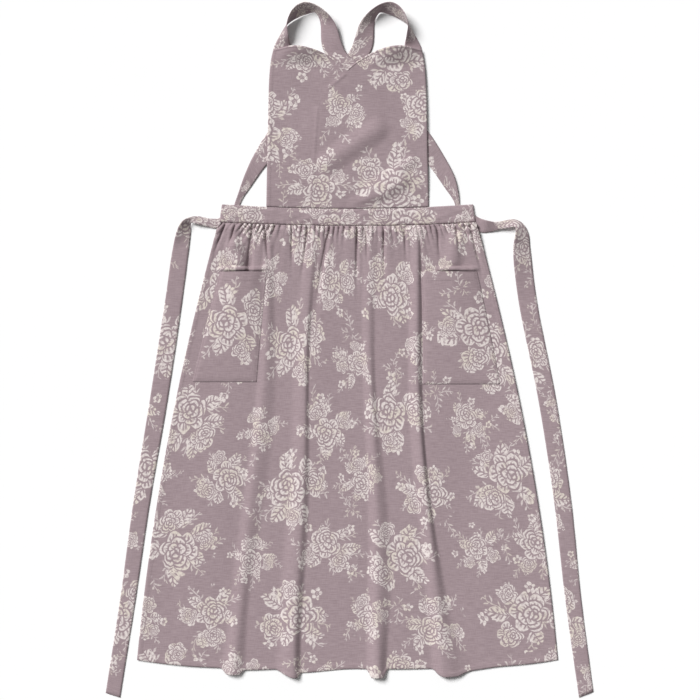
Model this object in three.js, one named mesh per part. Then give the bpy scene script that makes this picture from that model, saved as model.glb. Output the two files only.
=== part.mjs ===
// Cross-back apron of printed cotton, lying front side up on a flat surface.
// Millimetres. +X is the right of the apron seen from above, +Y runs from the hem towards the
// shoulder straps and +Z is up. The origin is on the surface, under the middle of the apron's box.
import * as THREE from 'three';
import { mergeVertices } from 'three/addons/utils/BufferGeometryUtils.js';

// Cloth and seams
const CLOTH = 1.3; // one layer of cloth with its turned edges
const STRIP = 1.6; // straps and ties, sewn as flat tubes
const BAND = 3.0; // waistband, folded over the gathers
const SEAM_GAP = 0.5; // clearance between two pieces sewn edge to edge
const LAP_GAP = 0.6; // clearance between two pieces that lie on each other

// Bib
const BIB_BASE_HALF = 142;
const BIB_TOP_HALF = 136.5;
const BIB_CORNER_TUCK = 7.5; // how far the top corners draw in
const BIB_CORNER_POWER = 12;
const NECK_START = { x: 98.5, y: 530 }; // inner end of the strap joint
const NECK_RADIUS = 143;
const SHOULDER_CORNER = { x: 129, y: 525 };
const BIB_OVER_STRAPS = STRIP + LAP_GAP; // height of the bib's underside
const BIB_SEAM_HEIGHT = 0.8;
const BIB_RISE = 45; // length over which the bib rises from its seam

// Waistband
const BAND_TOP_HALF = 219.5;
const BAND_BOTTOM_HALF = 224;
const BAND_TOP = { middle: 247.5, ends: 255 };
const BAND_BOTTOM = { middle: 217.5, ends: 223.5 };
const BAND_LIFT = STRIP + LAP_GAP; // the ends lie on the straps and ties
const BAND_LIFT_START = 150;
const BAND_LIFT_END = 178;

// Skirt
const SKIRT_TOP_HALF = 225;
const SKIRT_HEM_HALF = 368;
const SKIRT_FLARE = 0.5; // how much of the flare comes early, near the waist
const HEM_MIDDLE = -558;
const HEM_CORNER = -542;
const HEM_CORNER_POWER = 4;
const FOLD_MIDDLE = 0.36; // share of the skirt's length where a fold's middle is given
const FOLD_TOP_WIDTH = 0.55; // share of its hem width that a fold has at the waist
const GATHER_COUNT = 17;
const GATHER_HEIGHT = 2.6;
const GATHER_LENGTH = 42; // distance over which the gathers fade
const CORNER_LIFT = STRIP + LAP_GAP; // the skirt's top corners lie on the ties
const CORNER_LIFT_FROM = 0.78; // share of the half width
const CORNER_LIFT_TO = 0.88;
const CORNER_LIFT_LENGTH = { full: 25, none: 75 };

// Long folds of the skirt: crest at waist, middle and hem, height at waist and hem,
// widths of the two flanks at the hem, and how far the hem dips at the crest
const SKIRT_FOLDS = [
  { top: -133, middle: -148, hem: -204, topHeight: 5, hemHeight: 11, left: 24, right: 22, lobe: 10 },
  { top: -58, middle: -74, hem: -93, topHeight: 5, hemHeight: 16, left: 38, right: 24, lobe: 12 },
  { top: 34, middle: 43, hem: 56, topHeight: 5, hemHeight: 19, left: 26, right: 26, lobe: 15 },
  { top: 119, middle: 124, hem: 171, topHeight: 6, hemHeight: 19, left: 28, right: 38, lobe: 13 },
];

// Soft drag folds of the bib, from one end to the other
const BIB_FOLDS = [
  { fromX: 34, fromY: 373, toX: -34, toY: 328, width: 17, height: 2.4 },
  { fromX: 92, fromY: 296, toX: 18, toY: 250, width: 16, height: 2.6 },
];

// Patch pockets: side edges at mouth and bottom as shares of the skirt's half width, and the bottom's height
const POCKETS = [
  { name: 'pocket_left', leftTop: -0.9, rightTop: -0.57, leftLow: -0.925, rightLow: -0.545, low: -56 },
  { name: 'pocket_right', leftTop: 0.52, rightTop: 0.915, leftLow: 0.45, rightLow: 0.908, low: -60 },
];
const POCKET_MOUTH = 137;
const POCKET_SEAM = 0.95; // gap to the skirt along the sewn edges
const POCKET_GAPE = 8.5; // how far the mouth stands open
const POCKET_GAPE_POWER = 1.25;

// Left shoulder strap: its two edges from the bib's corner, round the loop and behind the bib
// to the far end of the waistband. The right strap is its mirror image.
const STRAP_SECTIONS = [
  { ax: -131, ay: 517, az: 0.8, bx: -101, by: 519, bz: 0.8 },
  { ax: -129, ay: 529, az: 0.8, bx: -100, by: 532, bz: 0.8 },
  { ax: -119, ay: 549, az: 1.2, bx: -103, by: 549, bz: 17 },
  { ax: -108, ay: 566, az: 1.2, bx: -105, by: 568, bz: 25 },
  { ax: -99, ay: 574, az: 1.2, bx: -99, by: 589, bz: 27 },
  { ax: -87, ay: 581, az: 1.2, bx: -89, by: 603, bz: 24 },
  { ax: -72, ay: 587, az: 1.2, bx: -76, by: 609, bz: 24 },
  { ax: -57, ay: 590, az: 1.2, bx: -59, by: 606, bz: 25 },
  { ax: -50, ay: 581, az: 1.2, bx: -38, by: 591, bz: 22 },
  { ax: -47, ay: 569, az: 1.0, bx: -22, by: 570, bz: 12 },
  { ax: -42, ay: 524, az: 0.8, bx: -2, by: 520, bz: 0.8 },
  { ax: 11, ay: 462, az: 0.8, bx: 38, by: 487, bz: 0.8 },
  { ax: 107, ay: 362, az: 0.8, bx: 132, by: 387, bz: 0.8 },
  { ax: 146, ay: 317, az: 0.8, bx: 174, by: 339, bz: 0.8 },
  { ax: 172, ay: 281, az: 0.8, bx: 190, by: 303, bz: 4 },
  { ax: 184, ay: 264, az: 0.8, bx: 194, by: 274, bz: 4 },
  { ax: 189, ay: 251, az: 0.8, bx: 198, by: 254, bz: 0.8 },
  { ax: 190, ay: 238, az: 0.8, bx: 201, by: 239, bz: 0.8 },
];
const STRAP_CROSSING = { x: 0, y: 498, lift: 2.0, full: 30, none: 85 };

// Waist ties: outer edge a and inner edge b, from under the waistband round the turn to the free end
const TIE_SECTIONS = {
  tie_left: [
    { ax: -206, ay: 247, az: 0.8, bx: -206, by: 227, bz: 0.8 },
    { ax: -224, ay: 231, az: 0.8, bx: -228, by: 213, bz: 0.8 },
    { ax: -240, ay: 230, az: 7, bx: -246, by: 216, bz: 0.9 },
    { ax: -261, ay: 234, az: 17, bx: -265, by: 221, bz: 1.1 },
    { ax: -275, ay: 232, az: 20, bx: -272, by: 222, bz: 1.2 },
    { ax: -288, ay: 224, az: 16, bx: -274, by: 218, bz: 1.2 },
    { ax: -297, ay: 209, az: 8, bx: -274, by: 207, bz: 1.0 },
    { ax: -305, ay: 181, az: 1.2, bx: -277, by: 181, bz: 0.8 },
    { ax: -319, ay: 87, az: 0.8, bx: -289, by: 87, bz: 0.8 },
    { ax: -346, ay: -88, az: 0.8, bx: -315, by: -88, bz: 0.8 },
    { ax: -374, ay: -262, az: 0.8, bx: -345, by: -262, bz: 0.8 },
    { ax: -398, ay: -437, az: 0.8, bx: -371, by: -437, bz: 0.8 },
    { ax: -423, ay: -600, az: 0.8, bx: -398, by: -608, bz: 0.8 },
  ],
  tie_right: [
    { ax: 206, ay: 249, az: 0.8, bx: 206, by: 226, bz: 0.8 },
    { ax: 229, ay: 232, az: 0.8, bx: 233, by: 206, bz: 0.8 },
    { ax: 243, ay: 226, az: 5, bx: 248, by: 206, bz: 0.9 },
    { ax: 259, ay: 224, az: 14, bx: 268, by: 211, bz: 1.0 },
    { ax: 277, ay: 227, az: 16, bx: 281, by: 213, bz: 1.1 },
    { ax: 291, ay: 229, az: 17, bx: 290, by: 215, bz: 1.2 },
    { ax: 302, ay: 225, az: 17, bx: 293, by: 213, bz: 1.2 },
    { ax: 311, ay: 216, az: 13, bx: 293, by: 209, bz: 1.0 },
    { ax: 317, ay: 202, az: 6, bx: 292, by: 199, bz: 0.9 },
    { ax: 320, ay: 176, az: 1.0, bx: 289, by: 176, bz: 0.8 },
    { ax: 331, ay: 87, az: 0.8, bx: 299, by: 87, bz: 0.8 },
    { ax: 365, ay: -88, az: 0.8, bx: 334, by: -88, bz: 0.8 },
    { ax: 391, ay: -262, az: 0.8, bx: 361, by: -262, bz: 0.8 },
    { ax: 409, ay: -437, az: 0.8, bx: 381, by: -437, bz: 0.8 },
    { ax: 430, ay: -598, az: 0.8, bx: 405, by: -608, bz: 0.8 },
  ],
};

// Facets of each wall, across and along
const BIB_GRID = { across: 24, along: 18 };
const BAND_GRID = { across: 44, along: 1 };
const SKIRT_GRID = { across: 72, along: 14, crowding: 1.35 };
const POCKET_GRID = { across: 10, along: 12 };
const STRIP_FACETS = 3;
const STRAP_STEPS = 50;
const TIE_STEPS = 42;
const NORMAL_STEP = 1e-3;

// Colours of the print seen from afar
const MAUVE = new THREE.Color().setRGB(0.66, 0.6, 0.62, THREE.SRGBColorSpace);
const CLOTH_ROUGHNESS = 0.9;

const { clamp, lerp, smoothstep } = THREE.MathUtils;

// A wall of cloth. surface(u, v) is its underside, with u towards +X and v towards +Y on a lying piece.
function clothWall(across, along, thickness, surface) {
  const geometry = new THREE.BoxGeometry(1, 1, 1, across, along, 1);
  geometry.deleteAttribute('normal');
  geometry.deleteAttribute('uv');
  const place = geometry.getAttribute('position');
  for (let i = 0; i < place.count; i += 1) {
    const u = place.getX(i) + 0.5;
    const v = place.getY(i) + 0.5;
    const point = surface(u, v);
    if (place.getZ(i) > 0) point.addScaledVector(surfaceNormal(surface, u, v), thickness);
    place.setXYZ(i, point.x, point.y, point.z);
  }
  const wall = mergeVertices(geometry);
  wall.computeVertexNormals();
  return wall;
}

// Unit normal of a surface, from its slopes across and along
function surfaceNormal(surface, u, v) {
  const uLow = Math.max(0, u - NORMAL_STEP);
  const uHigh = Math.min(1, u + NORMAL_STEP);
  const vLow = Math.max(0, v - NORMAL_STEP);
  const vHigh = Math.min(1, v + NORMAL_STEP);
  const across = surface(uHigh, v).sub(surface(uLow, v));
  const along = surface(u, vHigh).sub(surface(u, vLow));
  return across.cross(along).normalize();
}

// A round hump, 1 at its crest and 0 at the end of its flank
function hump(distance, reach) {
  return Math.cos((Math.PI / 2) * clamp(distance / reach, -1, 1)) ** 2;
}

// Height share of the bump where one strap lies on the other
function crossingLift(x, y) {
  const distance = Math.hypot(x - STRAP_CROSSING.x, y - STRAP_CROSSING.y);
  return 1 - smoothstep(distance, STRAP_CROSSING.full, STRAP_CROSSING.none);
}

// The waistband's edges dip a little between its ends
function bandEdge(edge, x) {
  return lerp(edge.middle, edge.ends, (x / BAND_BOTTOM_HALF) ** 2);
}

function bandLift(x) {
  return BAND_LIFT * smoothstep(Math.abs(x), BAND_LIFT_START, BAND_LIFT_END);
}

// Neckline: an arc from each strap joint to the point in the middle
function bibTop(x) {
  const out = Math.abs(x);
  if (out < NECK_START.x) {
    const centreY = NECK_START.y - NECK_RADIUS;
    return centreY + Math.sqrt(NECK_RADIUS ** 2 - (NECK_START.x - out) ** 2);
  }
  const share = (out - NECK_START.x) / (SHOULDER_CORNER.x - NECK_START.x);
  return lerp(NECK_START.y, SHOULDER_CORNER.y, share);
}

// Distance from a point to the line between a fold's two ends
function distanceToFold(fold, x, y) {
  const from = new THREE.Vector3(fold.fromX, fold.fromY);
  const to = new THREE.Vector3(fold.toX, fold.toY);
  const point = new THREE.Vector3(x, y);
  const nearest = new THREE.Line3(from, to).closestPointToPoint(point, true, new THREE.Vector3());
  return nearest.distanceTo(point);
}

function bibSurface(u, v) {
  const side = 2 * u - 1;
  const half = lerp(BIB_BASE_HALF, BIB_TOP_HALF, v) - BIB_CORNER_TUCK * v ** BIB_CORNER_POWER;
  const x = side * half;
  const low = bandEdge(BAND_TOP, x) + SEAM_GAP;
  const y = lerp(low, bibTop(x), v);
  let z = lerp(BIB_SEAM_HEIGHT, BIB_OVER_STRAPS, smoothstep(y - low, 0, BIB_RISE));
  z += STRAP_CROSSING.lift * crossingLift(x, y);
  for (const fold of BIB_FOLDS) z += fold.height * hump(distanceToFold(fold, x, y), fold.width);
  return new THREE.Vector3(x, y, z);
}

function bandSurface(u, v) {
  const x = (2 * u - 1) * lerp(BAND_BOTTOM_HALF, BAND_TOP_HALF, v);
  const y = lerp(bandEdge(BAND_BOTTOM, x), bandEdge(BAND_TOP, x), v);
  return new THREE.Vector3(x, y, bandLift(x));
}

function skirtHalf(drop) {
  return lerp(SKIRT_TOP_HALF, SKIRT_HEM_HALF, drop + SKIRT_FLARE * drop * (1 - drop));
}

// Crest of a fold: a smooth line through its places at waist, middle and hem
function foldCrest(fold, drop) {
  const straight = lerp(fold.top, fold.hem, drop);
  const bow = fold.middle - lerp(fold.top, fold.hem, FOLD_MIDDLE);
  return straight + (bow * drop * (1 - drop)) / (FOLD_MIDDLE * (1 - FOLD_MIDDLE));
}

function foldShape(fold, x, drop) {
  const distance = x - foldCrest(fold, drop);
  const flank = distance < 0 ? fold.left : fold.right;
  return hump(distance, flank * lerp(FOLD_TOP_WIDTH, 1, drop));
}

function skirtTopEdge(side) {
  return bandEdge(BAND_BOTTOM, side * SKIRT_TOP_HALF) - SEAM_GAP;
}

function hemEdge(side) {
  let y = lerp(HEM_MIDDLE, HEM_CORNER, Math.abs(side) ** HEM_CORNER_POWER);
  for (const fold of SKIRT_FOLDS) y -= fold.lobe * foldShape(fold, side * SKIRT_HEM_HALF, 1);
  return y;
}

// Underside of the skirt at a share of its half width and a share of its length below the waistband
function skirtPoint(side, drop) {
  const x = side * skirtHalf(drop);
  const top = skirtTopEdge(side);
  const y = lerp(top, hemEdge(side), drop);
  const below = top - y;
  const fade = Math.exp(-below / GATHER_LENGTH);
  let z = GATHER_HEIGHT * fade * (0.5 - 0.5 * Math.cos(Math.PI * GATHER_COUNT * (side + 1)));
  for (const fold of SKIRT_FOLDS) {
    z += lerp(fold.topHeight, fold.hemHeight, drop) * foldShape(fold, x, drop) * (1 - fade);
  }
  const nearCorner = smoothstep(Math.abs(side), CORNER_LIFT_FROM, CORNER_LIFT_TO);
  z += CORNER_LIFT * nearCorner * (1 - smoothstep(below, CORNER_LIFT_LENGTH.full, CORNER_LIFT_LENGTH.none));
  return new THREE.Vector3(x, y, z);
}

function skirtSurface(u, v) {
  return skirtPoint(2 * u - 1, (1 - v) ** SKIRT_GRID.crowding);
}

// A pocket follows the skirt, close along its sewn edges and standing open at the mouth
function pocketSurface(pocket, u, v) {
  const left = lerp(pocket.leftLow, pocket.leftTop, v);
  const right = lerp(pocket.rightLow, pocket.rightTop, v);
  const side = lerp(left, right, u);
  const y = lerp(pocket.low, POCKET_MOUTH, v);
  const top = skirtTopEdge(side);
  const point = skirtPoint(side, (top - y) / (top - hemEdge(side)));
  const gape = POCKET_GAPE * Math.sin(Math.PI * u) * v ** POCKET_GAPE_POWER;
  point.z += CLOTH + POCKET_SEAM + gape;
  return point;
}

// A flat strip between two edge lines, a on its left and b on its right. lift(x, y) raises it.
function stripWall(sections, steps, lift) {
  const edgeLine = (name) => new THREE.CatmullRomCurve3(
    sections.map((row) => new THREE.Vector3(row[`${name}x`], row[`${name}y`], row[`${name}z`])),
    false,
    'centripetal',
  );
  const leftEdge = edgeLine('a');
  const rightEdge = edgeLine('b');
  const middle = (u, v) => {
    const point = leftEdge.getPoint(v).lerp(rightEdge.getPoint(v), u);
    point.z = Math.max(point.z, STRIP / 2) + lift(point.x, point.y);
    return point;
  };
  const underside = (u, v) => middle(u, v).addScaledVector(surfaceNormal(middle, u, v), -STRIP / 2);
  return clothWall(STRIP_FACETS, steps, STRIP, underside);
}

// The same strip with its two edges exchanged
function swapped(sections) {
  return sections.map(({ ax, ay, az, bx, by, bz }) => ({ ax: bx, ay: by, az: bz, bx: ax, by: ay, bz: az }));
}

// The strip on the other side of the apron
function mirrored(sections) {
  return swapped(sections).map((row) => ({ ...row, ax: -row.ax, bx: -row.bx }));
}

function piece(name, geometry) {
  const mesh = new THREE.Mesh(
    geometry,
    new THREE.MeshStandardMaterial({ color: MAUVE.clone(), roughness: CLOTH_ROUGHNESS, metalness: 0 }),
  );
  mesh.name = name;
  return mesh;
}

const flat = () => 0;
const overOtherStrap = (x, y) => STRAP_CROSSING.lift * crossingLift(x, y);

const apron = new THREE.Group();
apron.add(piece('bib', clothWall(BIB_GRID.across, BIB_GRID.along, CLOTH, bibSurface)));
apron.add(piece('waistband', clothWall(BAND_GRID.across, BAND_GRID.along, BAND, bandSurface)));
apron.add(piece('skirt', clothWall(SKIRT_GRID.across, SKIRT_GRID.along, CLOTH, skirtSurface)));
for (const pocket of POCKETS) {
  const surface = (u, v) => pocketSurface(pocket, u, v);
  apron.add(piece(pocket.name, clothWall(POCKET_GRID.across, POCKET_GRID.along, CLOTH, surface)));
}
apron.add(piece('strap_left', stripWall(STRAP_SECTIONS, STRAP_STEPS, overOtherStrap)));
apron.add(piece('strap_right', stripWall(mirrored(STRAP_SECTIONS), STRAP_STEPS, flat)));
apron.add(piece('tie_left', stripWall(swapped(TIE_SECTIONS.tie_left), TIE_STEPS, flat)));
apron.add(piece('tie_right', stripWall(TIE_SECTIONS.tie_right, TIE_STEPS, flat)));

// Put the middle of the apron's footprint on the origin
const box = new THREE.Box3().setFromObject(apron);
const centre = box.getCenter(new THREE.Vector3());
apron.position.set(-centre.x, -centre.y, -box.min.z);
apron.updateMatrixWorld(true);

export default apron;
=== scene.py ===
"""Cross-back apron of printed cotton, lying front side up on a pale floor.

Lengths are metres. +X is the right of the apron seen from above, +Y runs from the hem to the straps.
"""
import math
from collections import namedtuple

import bpy
import numpy as np
from bpy.props import FloatProperty, FloatVectorProperty, IntProperty, PointerProperty
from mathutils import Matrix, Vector


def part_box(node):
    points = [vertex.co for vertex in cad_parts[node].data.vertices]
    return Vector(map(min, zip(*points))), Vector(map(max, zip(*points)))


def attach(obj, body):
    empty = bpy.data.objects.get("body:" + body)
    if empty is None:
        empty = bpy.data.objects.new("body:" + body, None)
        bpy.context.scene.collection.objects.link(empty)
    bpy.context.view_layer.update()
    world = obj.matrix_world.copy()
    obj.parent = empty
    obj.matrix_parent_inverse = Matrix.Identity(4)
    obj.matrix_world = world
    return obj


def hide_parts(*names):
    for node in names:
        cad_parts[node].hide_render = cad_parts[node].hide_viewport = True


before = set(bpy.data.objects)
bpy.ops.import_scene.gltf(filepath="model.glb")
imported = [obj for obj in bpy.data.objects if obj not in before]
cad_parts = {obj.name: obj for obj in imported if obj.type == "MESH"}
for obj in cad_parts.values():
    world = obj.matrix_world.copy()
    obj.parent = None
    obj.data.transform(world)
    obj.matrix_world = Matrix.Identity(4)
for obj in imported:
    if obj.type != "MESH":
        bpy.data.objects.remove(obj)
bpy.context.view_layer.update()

bl_info = {
    "name": "Cross-back Apron",
    "version": (1, 0, 0),
    "blender": (4, 5, 0),
    "location": "3D View > Sidebar > Apron",
    "description": "Builds a printed cotton apron, piece by piece, as it lies on a floor",
    "category": "Object",
}

BODY = "root"
UV_NAME = "cloth"

# Millimetres in a metre, for the sections of straps and ties and for the print
MILLIMETRES = 1000.0

# Clearances between sewn and lapped pieces, the thickness of straps and ties, and the lowest place of an
# upper side
SEAM_GAP = 0.0005
BIB_SEAM_GAP = 0.0002
LAP_GAP = 0.0006
STRIP = 0.0016
LOWEST_UPPER = 0.0004

# Share of its thickness that a piece keeps at its rim, and how far in its turned edges end
EDGE_KEEP = 0.6
BAND_EDGE_KEEP = 0.3
STRIP_EDGE_KEEP = 0.7
TURNING_FULL = 0.006
TURNING_END = 0.0075

# Slow waviness: its pitch along X and along Y, and the seed of its draws
Waviness = namedtuple("Waviness", "pitch_x pitch_y seed")
BIB_WAVES = Waviness(0.11, 0.13, 3)
PUCKER_WAVES = Waviness(0.09, 0.2, 5)
SKIRT_WAVES = Waviness(0.16, 0.55, 7)
STRIP_WAVES = Waviness(0.05, 0.06, 13)
WRINKLE_WAVES = Waviness(0.040, 0.016, 17)
PULL_WAVES = Waviness(0.011, 0.05, 19)
CRUMPLE_WAVES = Waviness(0.006, 0.01, 23)
PUCKER_PATCHES = Waviness(0.07, 0.3, 29)
BAND_WAVES = Waviness(0.030, 1.0, 31)
WAVE_COUNT = 8
WAVE_TURNS = 1.3
WAVE_GAIN = 1.6

# Points across each piece, and along it: a count, or stretches with the end and the count of each
BIB_COLUMNS = 151
BIB_ROWS = ((0.9, 96), (1, 34))
BAND_COLUMNS = 301
BAND_ROWS = 19
SKIRT_COLUMNS = 381
SKIRT_ROWS = ((0.125, 60), (0.975, 46), (1, 11))
POCKET_COLUMNS = 65
POCKET_ROWS = ((0.88, 74), (1, 26))
STRIP_COLUMNS = 13
STRAP_ROWS = 320
TIE_ROWS = 360

# How far each piece is moved on the printed cloth that it is cut from
PRINT_SHIFTS = {
    "bib": (0.031, 0.052),
    "waistband": (0.012, 0.121),
    "pocket_left": (0.083, -0.037),
    "pocket_right": (0.083, -0.037),
    "strap_left": (0.020, 0.115),
    "strap_right": (0.200, 0.060),
    "tie_left": (0.315, 0.165),
    "tie_right": (0.480, 0.000),
}

# Bib
BIB_BASE_HALF = 0.142
BIB_TOP_HALF = 0.1365
BIB_CORNER_TUCK = 0.0075
BIB_CORNER_POWER = 12
NECK_START_X = 0.0985
NECK_START_Y = 0.530
NECK_RADIUS = 0.143
SHOULDER_CORNER_X = 0.129
SHOULDER_CORNER_Y = 0.525
BIB_OVER_STRAPS = STRIP + LAP_GAP
BIB_SEAM_HEIGHT = 0.0008
BIB_RISE = 0.045
BIB_LINE_FADE = 0.022
NECK_CURL = 0.0155
NECK_CURL_REACH = 0.035
NECK_CURL_FROM = 0.026
NECK_CURL_TO = 0.140
NECK_ROLL = 0.0009
NECK_ROLL_HALF = 0.0022
BIB_WAVE_HEIGHT = 0.0012

# Waistband
Edge = namedtuple("Edge", "middle ends waver")
BAND_TOP_HALF = 0.2195
BAND_BOTTOM_HALF = 0.224
BAND_TOP = Edge(0.2475, 0.255, 0.0003)
BAND_BOTTOM = Edge(0.2175, 0.2235, 0.0008)
BAND_LIFT = STRIP + LAP_GAP
BAND_LIFT_START = 0.150
BAND_LIFT_END = 0.178
BAND_CROWN = 0.50
BAND_CROWN_POWER = 4
WRINKLE_HEIGHT = 0.0009
WRINKLE_POWER = 3
PULL_LEFT = 0.0005
PULL_RIGHT = 0.0016
PULL_POWER = 4

# Skirt
SKIRT_TOP_HALF = 0.225
SKIRT_HEM_HALF = 0.368
SKIRT_CUT_TOP = 0.90
SKIRT_FLARE = 0.5
HEM_MIDDLE = -0.558
HEM_CORNER = -0.542
HEM_CORNER_POWER = 4
FOLD_MIDDLE = 0.36
FOLD_TOP_WIDTH = 0.55
LOBE_START = 0.84
FOLD_WANDER = 0.003
FOLD_SWAY = 0.35
LOBE_FULLNESS = 1.9
DRIFT_START = 0.022
DRIFT_REACH = 0.105
CORNER_LIFT = STRIP + LAP_GAP
CORNER_LIFT_FROM = 0.78
CORNER_LIFT_TO = 0.88
CORNER_LIFT_FULL = 0.025
CORNER_LIFT_NONE = 0.075
FOLD_FADE = 0.042
HEM_DEPTH = 0.010
SIDE_HEM = 0.008
HEM_EXTRA = 0.0007
SIDE_HEM_EXTRA = 0.0003
HEM_STEP = 0.0015
SKIRT_WAVE_HEIGHT = 0.0016
SKIRT_WAVE_FULL = 0.15

# How the crests of the long folds wander and their right flanks sway: radians over the skirt's length, and
# radians for each metre that a fold lies from the middle
FOLD_WANDER_RUN = 9
FOLD_WANDER_START = 60
FOLD_SWAY_RUN = 7
FOLD_SWAY_START = 40

# Long folds: crest at waist, middle and hem, height at waist, above the hem and at the hem, flanks at the
# hem, dip of the hem, the share of its width that the right flank has at the waist and above the hem, and
# how far the hem still hangs down to the right of the fold
Fold = namedtuple(
    "Fold", "top middle hem top_height low_height hem_height left right lobe edge low_edge drift")
SKIRT_FOLDS = (
    Fold(-0.133, -0.148, -0.204, 0.0035, 0.0045, 0.0065, 0.022, 0.024, 0.008, 1.10, 1.10, 0.003),
    Fold(-0.058, -0.074, -0.093, 0.0028, 0.0078, 0.0090, 0.034, 0.015, 0.008, 1.28, 0.80, 0.007),
    Fold(0.034, 0.043, 0.056, 0.0018, 0.0080, 0.0095, 0.022, 0.019, 0.015, 1.25, 1.10, 0.0),
    Fold(0.119, 0.124, 0.171, 0.0065, 0.0072, 0.0085, 0.024, 0.050, 0.006, 0.18, 0.48, 0.008),
)

# Deep creases between the gathers: place at the seam and at their end, length, depth, half width at the
# seam, and how much wider they are at their end
Crease = namedtuple("Crease", "start end length depth width widening")
GATHER_CREASES = (
    Crease(-0.213, -0.226, 0.034, 0.0080, 0.0032, 0.5),
    Crease(-0.196, -0.204, 0.030, 0.0075, 0.0030, 0.5),
    Crease(-0.166, -0.175, 0.120, 0.0085, 0.0036, 2.4),
    Crease(-0.145, -0.139, 0.056, 0.0080, 0.0034, 0.6),
    Crease(-0.097, -0.097, 0.046, 0.0070, 0.0032, 0.5),
    Crease(-0.068, -0.076, 0.060, 0.0065, 0.0034, 0.5),
    Crease(-0.031, -0.047, 0.090, 0.0075, 0.0040, 0.8),
    Crease(0.0165, 0.0165, 0.062, 0.0110, 0.0030, 0.6),
    Crease(0.032, 0.034, 0.042, 0.0065, 0.0030, 0.4),
    Crease(0.063, 0.064, 0.055, 0.0080, 0.0032, 0.4),
    Crease(0.100, 0.102, 0.040, 0.0060, 0.0034, 0.5),
    Crease(0.157, 0.160, 0.040, 0.0060, 0.0034, 0.5),
    Crease(0.188, 0.194, 0.036, 0.0060, 0.0034, 0.5),
    Crease(0.203, 0.209, 0.022, 0.0070, 0.0028, 0.5),
    Crease(0.213, 0.227, 0.055, 0.0085, 0.0034, 0.5),
)
CREASE_END = 1.5

# Draws for each gather: how far it strays, its reach and height, its length and how far it leans
GATHER_SEED = 11
GATHER_STRAY = 0.3
GATHER_REACHES = (0.7, 1.6)
GATHER_HEIGHTS = (0.2, 1)
GATHER_LENGTHS = (0.5, 1.9)
GATHER_LEAN = 0.15

# Gathers, puckers and crumples under the waistband
GATHER_WIDENING = 9
GATHER_SWELL = 0.0042
GATHER_SWELL_FADE = 0.065
GATHER_SEAM_SHARE = 0.35
GATHER_SEAM = 0.010
PUCKER_HEIGHT = 0.0062
PUCKER_FADE = 0.011
PUCKER_LEAN = 0.90
PUCKER_SHARPNESS = 0.6
PUCKER_DRIFT = 4.0
PUCKER_MEAN = 0.50
PUCKER_VARIES = 0.6
PUCKER_ENDS = 0.4
PUCKER_ENDS_POWER = 6
CRUMPLE_HEIGHT = 0.0006
CRUMPLE_FADE = 0.020

# Lines on the bib from one end to the other: drag folds, the pressed crease and the tuck under the neckline
Line = namedtuple("Line", "from_x from_y to_x to_y width height")
BIB_LINES = (
    Line(0.050, 0.384, -0.034, 0.328, 0.027, 0.0050),
    Line(0.092, 0.296, 0.018, 0.250, 0.023, 0.0052),
    Line(0.112, 0.330, 0.040, 0.284, 0.015, 0.0024),
    Line(-0.053, 0.422, -0.064, 0.250, 0.0045, 0.0006),
    Line(-0.004, 0.481, -0.033, 0.458, 0.0030, 0.0011),
)

# Patch pockets: side edges at mouth and bottom as shares of the skirt's half width, the bottom's height, and
# the stretch of the mouth, in the same shares, where the skirt swells above it
Pocket = namedtuple("Pocket", "name left_top right_top left_low right_low low swell_from swell_to")
POCKETS = (
    Pocket("pocket_left", -0.9, -0.57, -0.925, -0.545, -0.056, -0.93, -0.55),
    Pocket("pocket_right", 0.52, 0.915, 0.45, 0.908, -0.060, 0.62, 0.94),
)
POCKET_MOUTH = 0.137
POCKET_SEAM = 0.0002
POCKET_GAPE = 0.0068
POCKET_GAPE_POWER = 1.25
POCKET_HEM = 0.016
POCKET_HEM_STEP = 0.0012
POCKET_TURNING = 0.00015
POCKET_EDGE = 0.009
POCKET_EDGE_KEEP = 0.08

# The skirt swells just above each pocket mouth and falls into the pocket
MOUTH_SWELL = 0.0060
MOUTH_SWELL_ABOVE = 0.0046
MOUTH_SWELL_REACH = 0.0056
MOUTH_SWELL_ENDS = 0.62

# Short ridges that run down to the pocket mouths
SKIRT_LINES = (
    Line(-0.196, 0.180, -0.190, 0.156, 0.021, 0.0080),
    Line(0.187, 0.190, 0.184, 0.157, 0.022, 0.0060),
)

# Sections of straps and ties: a place on each edge line
Section = namedtuple("Section", "ax ay az bx by bz")
STRIP_ROUND = 0.65
STRIP_ROUND_POWER = 6
STRIP_WAVE_HEIGHT = 0.0003


def from_millimetres(*rows):
    return tuple(Section(*(number / MILLIMETRES for number in row)) for row in rows)


# Left shoulder strap: its edges a and b from the bib's corner, round the loop and behind the bib to the
# far end of the waistband. The right strap is its mirror image, apart from its end.
STRAP_SECTIONS = from_millimetres(
    (-131, 517, 0.8, -101, 519, 0.8),
    (-129, 529, 0.8, -100, 532, 0.8),
    (-119, 549, 1.2, -103, 549, 17),
    (-108, 566, 1.2, -105, 566, 25),
    (-99, 574, 1.2, -99, 585, 27),
    (-87, 581, 1.2, -89, 598, 24),
    (-72, 587, 1.2, -76, 604, 24),
    (-57, 590, 1.2, -59, 601, 25),
    (-50, 581, 1.2, -38, 588, 22),
    (-47, 569, 1, -22, 570, 12),
    (-42, 524, 0.8, -2, 520, 0.8),
    (11, 462, 0.8, 38, 487, 0.8),
    (107, 362, 0.8, 132, 394, 0.8),
    (146, 318, 0.8, 169, 339, 0.8),
    (172, 281, 0.8, 187, 303, 3),
    (184, 264, 0.8, 194, 274, 3),
    (189, 251, 0.8, 197, 254, 0.8),
    (190, 238, 0.8, 201, 239, 0.8),
)

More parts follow.
